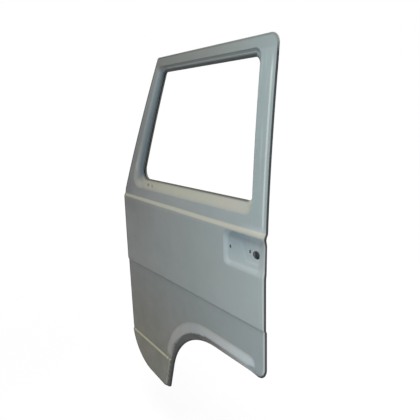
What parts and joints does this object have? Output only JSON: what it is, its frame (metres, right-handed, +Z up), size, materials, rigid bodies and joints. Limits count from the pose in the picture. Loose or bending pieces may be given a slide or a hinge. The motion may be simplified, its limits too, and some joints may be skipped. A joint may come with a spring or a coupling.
{
  "type": "car door shell",
  "caption": "Bare primed cab door shell with window opening, handle recess and flared wheel-arch cut-out.",
  "frame": {"origin": "on the outer face of the front wall at the lower hinge, midway between the two hinge bolts", "axes": "+X from the hinge edge to the lock edge, +Y from the street side into the cab, +Z up"},
  "size_m": [1.018, 0.0703, 1.519],
  "materials": {
    "skin_primer": "satin grey primer",
    "panel_primer": "satin grey primer",
    "zinc_steel": "dull zinc-coated pressed steel",
    "mastic": "matt dark mastic",
    "run_rubber": "matt black flocked channel"
  },
  "bodies": {
    "root": {"outer_skin": "skin_primer", "inner_panel": "panel_primer", "check_strap_plate": "zinc_steel", "front_glass_guide": "zinc_steel", "front_guide_bracket": "zinc_steel", "handle_plate": "zinc_steel", "inner_waist_rail": "zinc_steel", "latch_plate": "zinc_steel", "lower_hinge_cage": "zinc_steel", "lower_hinge_plate": "zinc_steel", "lower_tapping_plate": "zinc_steel", "mastic_dab_1": "mastic", "mastic_dab_2": "mastic", "mastic_dab_3": "mastic", "mastic_dab_4": "mastic", "mirror_nut_front": "zinc_steel", "mirror_nut_rear": "zinc_steel", "mirror_plate": "zinc_steel", "outer_waist_rail": "zinc_steel", "pull_handle_plate": "zinc_steel", "rear_glass_guide": "zinc_steel", "rear_guide_bracket": "zinc_steel", "skin_stiffener": "zinc_steel", "upper_hinge_cage": "zinc_steel", "upper_hinge_plate": "zinc_steel", "upper_tapping_plate": "zinc_steel", "window_channel": "run_rubber"}
  },
  "joints": []
}
